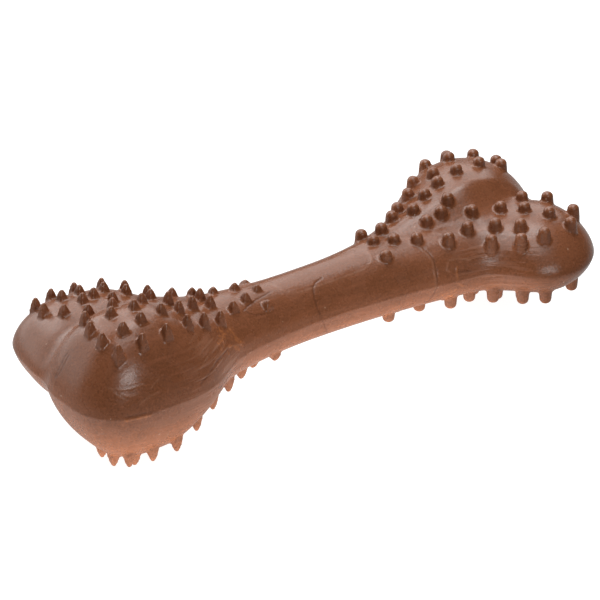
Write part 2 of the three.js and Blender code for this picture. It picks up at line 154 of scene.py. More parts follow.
# Fine lines in the rubber: height before MARK_DEPTH, half width, tint and course over the body. Lines with
# the dark tint are cuts painted with shade, lines with the light tint are raised and painted with a
# highlight, and flash lines carry the flash's own orange
MARKS = [
    (-0.16, 0.22, "dark", [
        (-0.4, -3.9, 8.3), (-3.2, -4.6, 8.0), (-4.8, -5.9, 7.3), (-5.8, -7.7, 5.8), (-6.0, -9.3, 3.6),
        (-5.3, -10.1, 0.8), (-4.0, -9.8, -2.0), (-2.2, -8.4, -5.0), (0.0, -5.5, -7.4)]),
    (-0.2, 0.26, "dark", [
        (30.7, -6.4, 8.3), (31.3, -8.3, 7.4), (31.4, -10.1, 6.0), (30.9, -11.6, 4.3), (30.6, -12.6, 2.2),
        (30.4, -12.9, 0.5), (29.9, -12.7, -1.5), (29.4, -11.6, -4.0), (29.0, -10.5, -5.3),
        (28.4, -8.0, -7.5)]),
    (0.14, 0.3, "light", [
        (30.3, -6.3, 8.4), (30.9, -8.3, 7.4), (31.0, -10.0, 6.1), (30.5, -11.5, 4.4), (30.2, -12.5, 2.3),
        (30.0, -12.8, 0.5), (29.5, -12.6, -1.5)]),
    (0.2, 0.2, "flash", [
        (37.0, -13.0, 3.8), (36.3, -13.6, 2.1), (36.5, -14.0, 0.5), (36.1, -13.9, -0.2),
        (38.5, -14.0, -2.2)]),
    (0.1, 0.25, "light", [(35.0, -11.6, 5.1), (34.0, -12.5, 3.6), (34.4, -13.0, 2.9)]),
    (0.08, 0.2, "light", [(34.4, -1.2, 9.6), (35.7, -2.1, 9.5), (38.0, -3.4, 9.4), (38.5, -4.3, 9.3)]),
    (0.08, 0.2, "light", [(28.1, -0.2, 9.4), (29.7, -1.5, 9.4)]),
    (-0.15, 0.22, "dark", [(37.0, -13.6, 2.5), (40.6, -14.5, 2.0)]),
    (0.1, 0.25, "light", [(35.5, -11.4, 5.4), (38.3, -12.0, 5.3), (41.3, -13.3, 4.5)]),
    (-0.18, 0.22, "dark", [
        (-26.8, -6.3, 8.4), (-24.9, -5.4, 8.6), (-21.6, -4.3, 8.8), (-18.2, -3.5, 8.8), (-15.9, -2.9, 8.9)]),
    (-0.18, 0.2, "dark", [(-26.8, -6.3, 8.4), (-26.0, -7.4, 7.7), (-24.3, -8.1, 7.0), (-21.9, -8.2, 6.5)]),
    (0.16, 0.24, "flash", [
        (-34.6, -7.1, 9.3), (-36.2, -9.8, 8.4), (-37.3, -11.9, 7.4), (-38.5, -13.5, 6.8),
        (-40.9, -15.2, 7.0)]),
    (0.14, 0.24, "flash", [
        (-34.5, -10.2, 7.5), (-33.6, -11.5, 6.0), (-33.7, -12.5, 4.7), (-32.7, -12.8, 3.4),
        (-32.2, -12.9, 2.7)]),
    (0.14, 0.22, "light", [
        (-32.7, -12.8, 3.4), (-35.0, -13.4, 4.1), (-38.0, -14.7, 4.8), (-40.9, -16.6, 5.2),
        (-44.2, -18.7, 5.5), (-46.1, -20.2, 4.8)]),
    (0.1, 0.2, "light", [(-47.8, -15.1, 12.2), (-51.6, -17.9, 11.9)]),
    (0.1, 0.2, "light", [(-41.8, -14.1, 8.6), (-47.8, -18.3, 9.1), (-49.4, -19.4, 8.7)]),
    (0.12, 0.2, "light", [
        (-41.0, -15.1, 7.2), (-45.6, -18.3, 7.5), (-48.3, -19.9, 7.1), (-50.8, -21.3, 6.0)]),
    (-0.12, 0.22, "dark", [
        (-38.0, -14.7, 4.5), (-44.9, -19.3, 4.9), (-49.0, -21.7, 3.6), (-51.8, -22.6, 2.7)]),
    (0.12, 0.22, "light", [(-35.2, -14.5, 1.2), (-41.3, -18.3, 1.8), (-45.1, -20.8, 1.4)]),
    (0.1, 0.22, "light", [(-33.1, -13.7, -0.9), (-38.5, -16.5, -1.0), (-42.7, -19.5, -0.9)]),
    (-0.1, 0.22, "dark", [(-33.2, -13.4, -2.5), (-39.3, -16.8, -2.4), (-44.2, -20.2, -1.8)]),
    (0.1, 0.2, "light", [(-46.0, -15.9, 10.3), (-50.3, -18.6, 10.3)]),
    (0.1, 0.2, "light", [(-68.2, -14.2, 16.2), (-66.6, -14.8, 16.3), (-65.3, -14.6, 16.6)]),
    (0.3, 0.42, "flash", [(-73.5, -22.1, -0.3), (-71.1, -22.9, -0.2), (-67.3, -23.4, -0.4)]),
    (-0.3, 0.4, "dark", [(-73.5, -22.1, 0.3), (-71.1, -22.9, 0.4), (-67.3, -23.4, 0.2)]),
    (-0.2, 0.22, "dark", [
        (-80.0, -0.4, 4.2), (-78.9, -1.1, 7.0), (-77.8, -1.4, 9.0), (-77.0, -1.6, 10.3)]),
    (-0.2, 0.22, "dark", [
        (-80.0, -1.1, 4.5), (-79.1, -2.2, 6.7), (-78.0, -2.5, 8.7), (-77.0, -2.6, 10.4)]),
    (0.12, 0.25, "light", [(-80.7, 0.6, -1.4), (-80.9, -0.4, 1.1), (-80.4, -0.9, 3.4)]),
    (0.1, 0.18, "light", [(-75.6, -17.8, 7.8), (-74.6, -19.7, 6.0), (-73.0, -21.2, 4.8)]),
    (0.1, 0.18, "light", [
        (-75.7, -17.9, 7.5), (-73.5, -19.8, 7.1), (-71.2, -20.8, 7.0), (-67.2, -21.4, 7.4)]),
    (0.1, 0.18, "light", [(-73.6, -20.4, 6.0), (-71.7, -21.4, 5.3), (-69.4, -21.9, 5.5)]),
    (0.08, 0.18, "light", [(-69.7, -22.7, 3.2), (-66.7, -22.6, 4.4), (-64.0, -22.7, 4.6)]),
    (0.08, 0.18, "light", [(-66.0, -22.1, 5.9), (-64.9, -21.8, 6.8), (-63.2, -21.6, 7.5)]),
]
MARK_DEPTH = 0.6
MARK_REACH = 3
COURSE_STEP = 0.15
COURSE_ROUNDS = 6

# Crumbs of flash where the lumps of rubber met
CRUMBS = [
    (35.4, -10.6, -6.1), (35.7, -11.5, -5.4), (35.4, -13.0, -3.1), (36.1, -11.8, -5.0), (34.1, -12.7, -3.3),
    (-34.7, -7.3, 9.3), (-36.0, -8.4, 9.1), (-35.9, -9.5, 8.5), (-37.4, -11.3, 8.0), (-37.4, -12.2, 7.3),
    (-38.9, -13.8, 6.7), (-40.9, -15.2, 7.0), (-34.2, -10.7, 7.0), (-33.6, -12.0, 5.4), (-32.7, -12.8, 3.5),
    (-34.0, -13.4, 3.4), (-37.1, -14.2, 4.6),
]
CRUMB_LIFT = 0.3
CRUMB_WIDTH = 0.38
CRUMB_DUST = 6
CRUMB_SPREAD = 0.9
DUST_LIFT = (-0.3, 0.6)
DUST_WIDTH = (0.5, 1)

# Lamps, in degrees, metres and watts: name, azimuth, lift, distance, width, depth (0 if round), power
LAMPS = [
    ("overhead", 139, 65, 1.1, 0.5, 0, 4.5),
    ("ceiling", 0, 88, 1.1, 0.8, 0, 6.4),
    ("backdrop", 180, 40, 1.0, 0.9, 0, 5.2),
    ("backdrop_left", -155, 15, 0.9, 1.0, 0, 4.3),
    ("backdrop_right", 135, 30, 1.0, 0.7, 0, 2.3),
    ("front_lamp", -11, 31, 1.1, 0.55, 0.24, 4.0),
]
LAMP_TARGET = (0, 0, 0.02)

# Floor, in metres: the pool of light on it, as soft light and as seen in the shine, and its own tones
POOL_MIDDLE = (-0.026, -0.001)
POOL_SQUEEZE = 0.5
POOL_EDGE = (0.025, 0.075)
POOL_LIGHT = 4.8
SHINE_EDGE = (0.05, 0.12)
POOL_SHINE = 0.2
FLOOR_WHITE = 0.92
FLOOR_GREY = 0.3
FLOOR_HALF = 6

# Camera: angles in degrees, target in the bone's own frame, distance in metres, lens and sensor in mm
CAMERA_AZIMUTH = -36.0
CAMERA_LIFT = 28.0
CAMERA_ROLL = -0.4209
CAMERA_TARGET = (-2.911, 2.358, 0.0)
CAMERA_DISTANCE = 0.9
CAMERA_LENS = 207.66
CAMERA_SENSOR = 36.0
CAMERA_CLIP_END = 20.0

# Rubber colours, as light reflected
RUBBER_DEEP = (0.163, 0.0575, 0.0245)
RUBBER_LIGHT = (0.197, 0.0705, 0.0315)
RUBBER_GRAIN = (0.28, 0.1, 0.05)
RUBBER_STREAK = (0.3, 0.13, 0.075)
RUBBER_DUST = (0.6, 0.42, 0.32)
# Dark specks of the grain, and painted shade in the cut lines of the rubber
RUBBER_DARK_GRAIN_AND_GROOVE_SHADE = (0.045, 0.013, 0.006)
# Painted highlight on the raised lines of the rubber
RUBBER_EDGE_HIGHLIGHT = (0.42, 0.22, 0.14)
RUBBER_FLASH = (0.5, 0.17, 0.055)

# Tints of the fine lines: how broken the lines are, their colour, and how strongly it shows. The dark tint is
# painted shade in the cut lines and the light tint a painted highlight on the raised lines; the flash tint is
# the flash's own orange
TINTS = {
    "dark": (0.35, RUBBER_DARK_GRAIN_AND_GROOVE_SHADE, 0.6),
    "light": (0.35, RUBBER_EDGE_HIGHLIGHT, 0.22),
    "flash": (0.75, RUBBER_FLASH, 0.55),
}

# Rubber noises: scale and detail of each, and the stretched scales of the level streaks and the drawn lines
CLOUD_NOISE = (60.0, 4.0)
GRAIN_NOISE = (2000.0, 3.0)
SHEEN_NOISE = (250.0, 3.0)
STRETCHED_NOISE = (1.0, 3.0)
STREAK_SCALE = (90.0, 90.0, 1500.0)
DRAWN_SCALE = (90.0, 1300.0, 1300.0)
DUST_SCALE = 230.0

# Rubber layers: the range of each noise and the shares that it is carried to
CLOUD_RANGE = (0.3, 0.7, 0.0, 1.0)
GRAIN_LIGHT_RANGE = (0.5, 0.75, 0.0, 0.55)
GRAIN_DARK_RANGE = (0.3, 0.5, 0.3, 0.0)
STREAK_RANGE = (0.45, 0.7, 0.0, 1.0)
DRAWN_RANGE = (0.52, 0.72, 0.0, 0.3)
DUST_RANGE = (0.02, 0.055, 0.8, 0.0)
ROUGHNESS_RANGE = (0.3, 0.7, 0.22, 0.31)

# Streaked flanks: middle and reach of each, and the share of the reach that is streaked in full
STREAK_FLANKS = [((-45.0, -20.0, 3.0), 17.0), ((48.0, -17.0, 4.0), 15.0)]
STREAK_FULL = 0.35
STREAK_TINT = 0.4
STREAK_ROUGHNESS = 0.1

# Rubber shine and bumps
RUBBER_SPECULAR = 0.34
BUMP_STRENGTH = 0.4
BUMP_HEIGHT = 0.0003
GRAIN_BUMP = 0.35
STREAK_BUMP = 0.5
DRAWN_BUMP = 0.35

# Fineness
SKIN_STEP = 0.8
SKIN_BOX = ((-86.0, -30.0, -23.0), (86.0, 38.0, 23.0))
SLOPE_REACH = 0.02
REMESH_STEP = 0.3
SMOOTH_ROUNDS = 4


# Body of the bone: fields that are negative inside it

def ramp(value, low, high):
    share = np.clip((value - low) / (high - low), 0, 1)
    return share * share * (3 - 2 * share)


def fillet(a, b, radius):
    near = np.maximum(radius - np.abs(a - b), 0) / radius
    return np.minimum(a, b) - near * near * radius / 4


def lobe_field(name, x, y, z):
    end, side, reach, offset, length, width, height, turn, plan, crown, edge = LOBES[name]
    cos, sin = math.cos(math.radians(turn)), math.sin(math.radians(turn))
    along = end * x - (reach - math.hypot(length * cos, width * sin))
    across = side * y - offset
    u = np.abs(along * cos + across * sin) / length
    v = np.abs(across * cos - along * sin) / width
    rise = math.hypot(height, EDGE_ROUNDING) - EDGE_ROUNDING
    slant = np.hypot(z, EDGE_ROUNDING)
    w = (slant - EDGE_ROUNDING) / rise
    q = np.maximum((u ** plan + v ** plan) ** (1 / plan), TINY)
    fall = crown * q ** (crown - 1)
    slope_u = fall * (u / q) ** (plan - 1) / length
    slope_v = fall * (v / q) ** (plan - 1) / width
    slope_w = edge * w ** (edge - 1) * np.abs(z) / slant / rise
    slope = np.sqrt(slope_u ** 2 + slope_v ** 2 + slope_w ** 2)
    return (q ** crown + w ** edge - 1) / np.maximum(slope, LEAST_SLOPE / max(length, width, height))


def shaft_field(x, y, z):
    away = (x - WAIST_X) / FLARE_DISTANCE
    spiked = away < 0
    half_width = SHAFT_HALF_WIDTH + np.where(spiked, SPIKED_FLARE[0], STUDDED_FLARE[0]) * away ** 2
    half_height = SHAFT_HALF_HEIGHT + np.where(spiked, SPIKED_FLARE[1], STUDDED_FLARE[1]) * away ** 2
    beyond = np.maximum(np.where(spiked, -x - SPIKED_ROOT_X, x - STUDDED_ROOT_X), 0) / SHAFT_HALF_WIDTH
    size = np.sqrt((y / half_width) ** 2 + (z / half_height) ** 2 + beyond ** 2) + TINY
    slope_y, slope_z, slope_x = y / half_width ** 2, z / half_height ** 2, beyond / SHAFT_HALF_WIDTH
    slope = np.sqrt(slope_y ** 2 + slope_z ** 2 + slope_x ** 2)
    return size * (size - 1) / (slope + TINY)


def bone_field(x, y, z):
    lobes = {name: lobe_field(name, x, y, z) for name in LOBES}
    spiked = fillet(lobes["spiked_near"], lobes["spiked_far"], SPIKED_LOBE_FILLET)
    studded = fillet(lobes["studded_near"], lobes["studded_far"], STUDDED_LOBE_FILLET)
    body = fillet(shaft_field(x, y, z), spiked, SPIKED_NECK_FILLET)
    short, long = STUDDED_NECK_FILLETS
    return fillet(body, studded, short + (long - short) * ramp(y, -NECK_BLEND, NECK_BLEND))


def field_at(points):
    return bone_field(points[:, 0], points[:, 1], points[:, 2])


def field_slope(points):
    slope = np.empty_like(points)
    for axis in range(3):
        ahead, behind = points.copy(), points.copy()
        ahead[:, axis] += SLOPE_REACH
        behind[:, axis] -= SLOPE_REACH
        slope[:, axis] = (field_at(ahead) - field_at(behind)) / (2 * SLOPE_REACH)
    return slope


def push_out(points, lift):
    """Moves points straight out of the body, each by its own lift."""
    slope = field_slope(points)
    points += slope / np.linalg.norm(slope, axis=1)[:, None] * lift[:, None]


def settle(points, share=1.0, rounds=3):
    """Moves points onto the bare body, each by its own share of the way."""
    for _ in range(rounds):
        slope = field_slope(points)
        step = field_at(points) / np.maximum((slope ** 2).sum(1), 1e-6)
        points = points - slope * (np.clip(step, -1, 1) * share)[:, None]
    return points


def ground_at(x, y):
    """Height of the bare body over each place."""
    low, high = np.zeros(len(x)), np.full(len(x), HIGHEST_GROUND)
    for _ in range(GROUND_ROUNDS):
        middle = (low + high) / 2
        inside = bone_field(x, y, middle) < 0
        low, high = np.where(inside, middle, low), np.where(inside, high, middle)
    return low


def body_skin():
    """Corners and four-sided faces of the bare body, one corner in each grid cell that its surface cuts."""
    low, high = np.array(SKIN_BOX)
    counts = np.ceil((high - low) / SKIN_STEP).astype(int) + 1
    axes = [low[i] + SKIN_STEP * np.arange(counts[i]) for i in range(3)]
    x, y, z = np.meshgrid(*axes, indexing="ij", sparse=True)
    field = bone_field(x, y, z)
    inside = field < 0
    cells = tuple(counts - 1)
    total = np.zeros(cells + (3,))
    hits = np.zeros(cells)
    for axis in range(3):
        others = [i for i in range(3) if i != axis]
        first = [slice(None)] * 3
        second = [slice(None)] * 3
        first[axis], second[axis] = slice(None, -1), slice(1, None)
        a, b = field[tuple(first)], field[tuple(second)]
        crossed = (a < 0) != (b < 0)
        share = np.where(crossed, a / np.where(crossed, a - b, 1), 0)
        for i in (0, 1):
            for j in (0, 1):
                part = [slice(None)] * 3
                part[others[0]] = slice(i, i + cells[others[0]])
                part[others[1]] = slice(j, j + cells[others[1]])
                mark = crossed[tuple(part)]
                hits += mark
                total[..., axis] += np.where(mark, share[tuple(part)], 0)
                total[..., others[0]] += mark * i
                total[..., others[1]] += mark * j
    used = hits > 0
    number = np.full(cells, -1)
    number[used] = np.arange(used.sum())
    where = np.argwhere(used)
    corners = low + SKIN_STEP * (where + total[used] / hits[used][:, None])
    faces = []
    for axis in range(3):
        one, two = (axis + 1) % 3, (axis + 2) % 3
        first = [slice(1, -1)] * 3
        second = [slice(1, -1)] * 3
        first[axis], second[axis] = slice(None, -1), slice(1, None)
        a, b = inside[tuple(first)], inside[tuple(second)]
        for outward, places in ((True, np.argwhere(a & ~b)), (False, np.argwhere(~a & b))):
            cell = places.copy()
            cell[:, one] += 1
            cell[:, two] += 1
            ring = []
            for i, j in ((1, 1), (0, 1), (0, 0), (1, 0)):
                near = cell.copy()
                near[:, one] -= i
                near[:, two] -= j
                ring.append(number[near[:, 0], near[:, 1], near[:, 2]])
            ring = np.stack(ring, 1)
            faces.append(ring if outward else ring[:, ::-1])
    return settle(corners), np.concatenate(faces)


# Mesh helpers

def mesh_of(name, corners, faces):
    mesh = bpy.data.meshes.new(name)
    mesh.vertices.add(len(corners))
    mesh.vertices.foreach_set("co", np.asarray(corners, np.float32).ravel())
    faces = np.asarray(faces, np.int32)
    if len(faces):
        sides = faces.shape[1]
        mesh.loops.add(faces.size)
        mesh.loops.foreach_set("vertex_index", faces.ravel())
        mesh.polygons.add(len(faces))
        mesh.polygons.foreach_set("loop_start", np.arange(0, faces.size, sides, dtype=np.int32))
        mesh.update(calc_edges=True)
    return mesh


def corners_of(mesh):
    corners = np.empty(len(mesh.vertices) * 3, np.float32)
    mesh.vertices.foreach_get("co", corners)
    return corners.reshape(-1, 3).astype(float)


def object_of(name, mesh):
    made = bpy.data.objects.new(name, mesh)
    bpy.context.scene.collection.objects.link(made)
    return made


def plain_mesh(source):
    """The finished mesh of an object with its modifiers, as a mesh of its own."""
    bpy.context.view_layer.update()
    seen = source.evaluated_get(bpy.context.evaluated_depsgraph_get())
    return bpy.data.meshes.new_from_object(seen)


def discard(made):
    mesh = made.data
    bpy.data.objects.remove(made)
    bpy.data.meshes.remove(mesh)


# Node helpers

def feed(tree, socket, value):
    """Links a socket to the output of another node, or sets it to a plain value."""
    if isinstance(value, bpy.types.NodeSocket):
        tree.links.new(value, socket)
    else:
        socket.default_value = value


def sum_of(tree, operation, a, b):
    node = tree.nodes.new("ShaderNodeMath")
    node.operation = operation
    feed(tree, node.inputs[0], a)
    feed(tree, node.inputs[1], b)
    return node.outputs[0]


def vector_of(tree, *values):
    node = tree.nodes.new("ShaderNodeCombineXYZ")
    for socket, value in zip(node.inputs, values):
        feed(tree, socket, value)
    return node.outputs[0]


def spread(tree, value, low, high, bottom, top):
    """Carries a value smoothly from one range into another."""
    node = tree.nodes.new("ShaderNodeMapRange")
    node.interpolation_type = "SMOOTHSTEP"
    for label, number in zip(("From Min", "From Max", "To Min", "To Max"), (low, high, bottom, top)):
        node.inputs[label].default_value = number
    tree.links.new(value, node.inputs["Value"])
    return node.outputs["Result"]


# Rows of spikes and studs

def tooth_tree(name, shape_maker, sizes):
    """Nodes that stand one tooth shape on every place, each turned a little, and join them."""
    tree = bpy.data.node_groups.new(name, "GeometryNodeTree")
    face = tree.interface
    face.new_socket("Places", in_out="INPUT", socket_type="NodeSocketGeometry")
    for label, value in sizes.items():
        kind = "NodeSocketInt" if isinstance(value, int) else "NodeSocketFloat"
        face.new_socket(label, in_out="INPUT", socket_type=kind)
    face.new_socket("Rubber", in_out="INPUT", socket_type="NodeSocketMaterial")
    face.new_socket("Teeth", in_out="OUTPUT", socket_type="NodeSocketGeometry")
    add, link = tree.nodes.new, tree.links.new
    made = add("NodeGroupOutput")
    given = add("NodeGroupInput").outputs

    def named(label):
        node = add("GeometryNodeInputNamedAttribute")
        node.data_type = "FLOAT"
        node.inputs["Name"].default_value = label
        return node.outputs["Attribute"]

    shape = shape_maker(tree, given)
    chance = add("FunctionNodeRandomValue")
    chance.data_type = "FLOAT"
    sockets = {socket.identifier: socket for socket in chance.inputs}
    link(sum_of(tree, "MULTIPLY", given["Turn"], -1.0), sockets["Min_001"])
    link(given["Turn"], sockets["Max_001"])
    link(given["Seed"], sockets["Seed"])
    stand = add("GeometryNodeInstanceOnPoints")
    link(given["Places"], stand.inputs["Points"])
    link(shape, stand.inputs["Instance"])
    link(vector_of(tree, named("over"), 0.0, chance.outputs[1]), stand.inputs["Rotation"])
    link(vector_of(tree, 1.0, 1.0, named("stretch")), stand.inputs["Scale"])
    real = add("GeometryNodeRealizeInstances")
    link(stand.outputs[0], real.inputs[0])
    paint = add("GeometryNodeSetMaterial")
    link(real.outputs[0], paint.inputs["Geometry"])
    link(given["Rubber"], paint.inputs["Material"])
    link(paint.outputs[0], made.inputs["Teeth"])
    return tree


def stacked(tree, sides, levels):
    """Straight-sided lengths, one under the other: each has top width, bottom width, top depth and length."""
    add, link = tree.nodes.new, tree.links.new
    stack = add("GeometryNodeJoinGeometry")
    corner = math.sqrt(0.5) if sides == 4 else 0.5
    for top, bottom, depth, length in levels:
        cone = add("GeometryNodeMeshCone")
        cone.inputs["Vertices"].default_value = sides
        link(sum_of(tree, "MULTIPLY", top, corner), cone.inputs["Radius Top"])
        link(sum_of(tree, "MULTIPLY", bottom, corner), cone.inputs["Radius Bottom"])
        link(length, cone.inputs["Depth"])
        place = add("GeometryNodeTransform")
        link(cone.outputs["Mesh"], place.inputs["Geometry"])
        lift = sum_of(tree, "MULTIPLY", sum_of(tree, "ADD", depth, length), -1.0)
        link(vector_of(tree, 0.0, 0.0, lift), place.inputs["Translation"])
        place.inputs["Rotation"].default_value = (0.0, 0.0, math.pi / sides)
        link(place.outputs[0], stack.inputs[0])
    return stack


def spike_shape(tree, given):
    """A four-sided blunt spike with its tip at the origin and its root far below."""
    face = given["Face height"]
    upper = sum_of(tree, "MULTIPLY", face, SPIKE_TIP_SHARE)
    lower = sum_of(tree, "MULTIPLY", face, 1 - SPIKE_TIP_SHARE)
    below = sum_of(tree, "SUBTRACT", face, ROOT_OVERLAP)
    levels = (
        (given["Tip width"], given["Shoulder width"], 0.0, upper),
        (given["Shoulder width"], given["Foot width"], upper, lower),
        (given["Foot width"], given["Root width"], below, given["Root depth"]),
    )
    return stacked(tree, 4, levels).outputs[0]


def stud_shape(tree, given):
    """A round stud with a domed top at the origin and its root far below."""
    add, link = tree.nodes.new, tree.links.new
    below = sum_of(tree, "ADD", given["Face height"], given["Dome"])
    levels = (
        (given["Top width"], given["Foot width"], given["Dome"], given["Face height"]),
        (given["Foot width"], given["Root width"], below, given["Root depth"]),
    )
    stack = stacked(tree, STUD_SIDES, levels)
    ball = add("GeometryNodeMeshUVSphere")
    ball.inputs["Segments"].default_value = STUD_SIDES
    ball.inputs["Rings"].default_value = STUD_RINGS
    ball.inputs["Radius"].default_value = 1.0
    half_top = sum_of(tree, "MULTIPLY", given["Top width"], 0.5)
    depth = sum_of(tree, "MULTIPLY", given["Dome"], -1.0)
    dome = add("GeometryNodeTransform")
    link(ball.outputs["Mesh"], dome.inputs["Geometry"])
    link(vector_of(tree, 0.0, 0.0, depth), dome.inputs["Translation"])
    link(vector_of(tree, half_top, half_top, given["Dome"]), dome.inputs["Scale"])
    link(dome.outputs[0], stack.inputs[0])
    return stack.outputs[0]


def tooth_heights(x, y, ground, rise, near, far, crease):
    """Height of each tooth, which grows away from the shaft and where the ground falls off."""
    half = np.where(y < crease, LOBES[near].height, LOBES[far].height)
    out = np.clip((np.abs(x) - rise.start) / (rise.full - rise.start), 0, 1)
    return (rise.crown + rise.gain * np.maximum(half - ground, 0)) * (rise.neck + (1 - rise.neck) * out)


def rows_of(name, places, shift, rule, face_height, shape_maker, sizes, material):
    """Stands the teeth of one end, above and below, as one mesh; with a face height they stretch to fit."""
    tips, over, stretch = [], [], []
    for side in (1, -1):
        x = np.array([p[0] for p in places]) + (shift if side < 0 else 0)
        y = np.array([p[1] for p in places])
        ground = ground_at(x, y)
        height = tooth_heights(x, y, ground, *rule)
        tips.append(np.stack([x, y, side * (ground + height)], 1))
        over.append(np.full(len(x), 0.0 if side > 0 else math.pi))
        stretch.append(height / face_height if face_height else np.ones(len(x)))
    marks = object_of(name, mesh_of(name, np.concatenate(tips), []))
    for label, values in (("over", over), ("stretch", stretch)):
        layer = marks.data.attributes.new(label, "FLOAT", "POINT")
        layer.data.foreach_set("value", np.concatenate(values).astype(np.float32))
    rows = marks.modifiers.new(name, "NODES")
    rows.node_group = tooth_tree(name, shape_maker, sizes)
    values = {**sizes, "Rubber": material}
    for item in rows.node_group.interface.items_tree:
        if item.in_out == "INPUT" and item.name in values:
            rows[item.identifier] = values[item.name]
    mesh = plain_mesh(marks)
    discard(marks)
    return mesh


# One skin over body and teeth

def edges_of(mesh):
    edges = np.empty(len(mesh.edges) * 2, np.int32)
    mesh.edges.foreach_get("vertices", edges)
    return edges.reshape(-1, 2)


def neighbours_mean(values, edges, count):
    ends = np.concatenate([edges[:, 0], edges[:, 1]])
    others = np.concatenate([edges[:, 1], edges[:, 0]])
    number = np.maximum(np.bincount(ends, minlength=count), 1)
    if values.ndim == 1:
        return np.bincount(ends, values[others], count) / number
    return np.stack([np.bincount(ends, values[others, i], count) / number for i in range(3)], 1)


def joined(meshes):
    made = bmesh.new()
    for mesh in meshes:
        made.from_mesh(mesh)
    whole = bpy.data.meshes.new("whole")
    made.to_mesh(whole)
    made.free()
    return whole


def one_skin(meshes):
    """Body and teeth as one closed skin, with soft fillets round every foot."""
    whole = object_of("whole", joined(meshes))
    wrap = whole.modifiers.new("wrap", "REMESH")
    wrap.mode = "VOXEL"
    wrap.voxel_size = REMESH_STEP
    wrap.adaptivity = 0.0
    skin = plain_mesh(whole)
    discard(whole)
    corners, edges = corners_of(skin), edges_of(skin)
    count = len(corners)
    near_tooth = (field_at(corners) > TOOTH_START).astype(float)
    for _ in range(SMOOTH_ROUNDS):
        near_tooth = np.maximum(near_tooth, neighbours_mean(near_tooth, edges, count))
    for _ in range(SMOOTH_ROUNDS):
        out = field_at(corners)
        ease = TOOTH_EASE + FOOT_EASE_MORE * (1 - ramp(out, TOOTH_START, TOOTH_CLEAR))
        corners += (neighbours_mean(corners, edges, count) - corners) * ease[:, None]
    bare = 1 - ramp(near_tooth, 0.0, BARE_LIMIT)
    corners = settle(corners, bare, rounds=2)
    skin.vertices.foreach_set("co", corners.astype(np.float32).ravel())
    return skin


# Marks on the rubber

def stadium(x, y):
    """Distance from the rim of the label panel, negative inside it."""
    radius = PANEL_WIDTH / 2
    along = np.maximum(np.abs(x - PANEL_X) - (PANEL_LENGTH / 2 - radius), 0)
    return np.hypot(along, y) - radius


def press_panel(corners):
    """Flattens the label panel a little, with a soft rim."""
    x, y, z = corners.T
    inside = PANEL_PRESS * (1 - ramp(stadium(x, y), *PANEL_RIM))
    low = np.minimum(z, PANEL_FLOOR)
    corners[:, 2] = np.where(z > 0, z + (low - z) * inside, z)


def panel_outline():
    """The rim of the label panel, a little under the skin."""
    radius = PANEL_WIDTH / 2
    straight = PANEL_LENGTH / 2 - radius
    turn = np.linspace(0, 2 * math.pi, PANEL_LINE_POINTS)
    x = PANEL_X + radius * np.cos(turn) + np.where(np.cos(turn) > 0, straight, -straight)
    return np.stack([x, radius * np.sin(turn), np.full(len(turn), SHAFT_HALF_HEIGHT - 1)], 1)


def course(points):
    """Places close together along a line, laid onto the bare body."""
    points = np.asarray(points, float)
    if len(points) < 2:
        return settle(points)
    close = []
    for first, second in zip(points[:-1], points[1:]):
        count = max(2, int(np.linalg.norm(second - first) / COURSE_STEP))
        close.append(first + (second - first) * np.linspace(0, 1, count)[:, None])
    return settle(np.concatenate(close), 1.0, COURSE_ROUNDS)


def press_marks(corners):
    """Cuts and raises the fine lines, and returns how strongly each tint shows at every corner: painted shade
    along the cuts, a painted highlight along the raised light lines, and the flash's own orange.
    """
    chance = np.random.default_rng(SEED)
    lift = np.zeros(len(corners))
    tints = {tint: np.zeros(len(corners)) for tint in TINTS}
    # The rim of the label panel is a raised light line and gets the painted highlight too
    lines = MARKS + [(PANEL_LINE_LIFT, PANEL_LINE_WIDTH, "light", panel_outline())]
    lines += [(CRUMB_LIFT, CRUMB_WIDTH, "flash", [place]) for place in CRUMBS]
    for place in CRUMBS:
        for _ in range(CRUMB_DUST):
            scatter = np.array(place) + chance.normal(0, CRUMB_SPREAD, 3)
            height = CRUMB_LIFT * chance.uniform(*DUST_LIFT)
            width = CRUMB_WIDTH * chance.uniform(*DUST_WIDTH)
            lines.append((height, width, "flash", [scatter]))
    for height, width, tint, points in lines:
        line = course(points)
        broken = 1 - TINTS[tint][0] * chance.random(len(line))
        low, high = line.min(0) - MARK_REACH * width, line.max(0) + MARK_REACH * width
        close = np.flatnonzero(((corners > low) & (corners < high)).all(1))
        tree = KDTree(len(line))
        for index, place in enumerate(line):
            tree.insert(place, index)
        tree.balance()
        found = [tree.find(corners[index]) for index in close]
        away = np.array([hit[2] for hit in found])
        share = np.exp(-(away / width) ** 2) * np.array([broken[hit[1]] for hit in found])
        lift[close] += MARK_DEPTH * height * share
        tints[tint][close] = np.maximum(tints[tint][close], share)
    push_out(corners, lift)
    return tints


def raise_parting_edge(corners):
    """Brings the parting line all round the bone to a narrow edge."""
    bare = 1 - ramp(field_at(corners), TOOTH_START, PARTING_END)
    push_out(corners, PARTING_LIFT * np.exp(-np.abs(corners[:, 2]) / PARTING_FALL) * bare)


# Pieces

def cut(mesh, point, normal):
    """The part of a mesh behind a plane, closed there with a flat face."""
    made = bmesh.new()
    made.from_mesh(mesh)
    everything = made.verts[:] + made.edges[:] + made.faces[:]
    done = bmesh.ops.bisect_plane(
        made, geom=everything, plane_co=point, plane_no=normal, dist=1e-5,
        clear_outer=True, clear_inner=False)
    rim = [item for item in done["geom_cut"] if isinstance(item, bmesh.types.BMEdge)]
    bmesh.ops.edgeloop_fill(made, edges=rim)
    bmesh.ops.recalc_face_normals(made, faces=made.faces[:])
    kept = bpy.data.meshes.new(mesh.name)
    made.to_mesh(kept)
    made.free()
    return kept


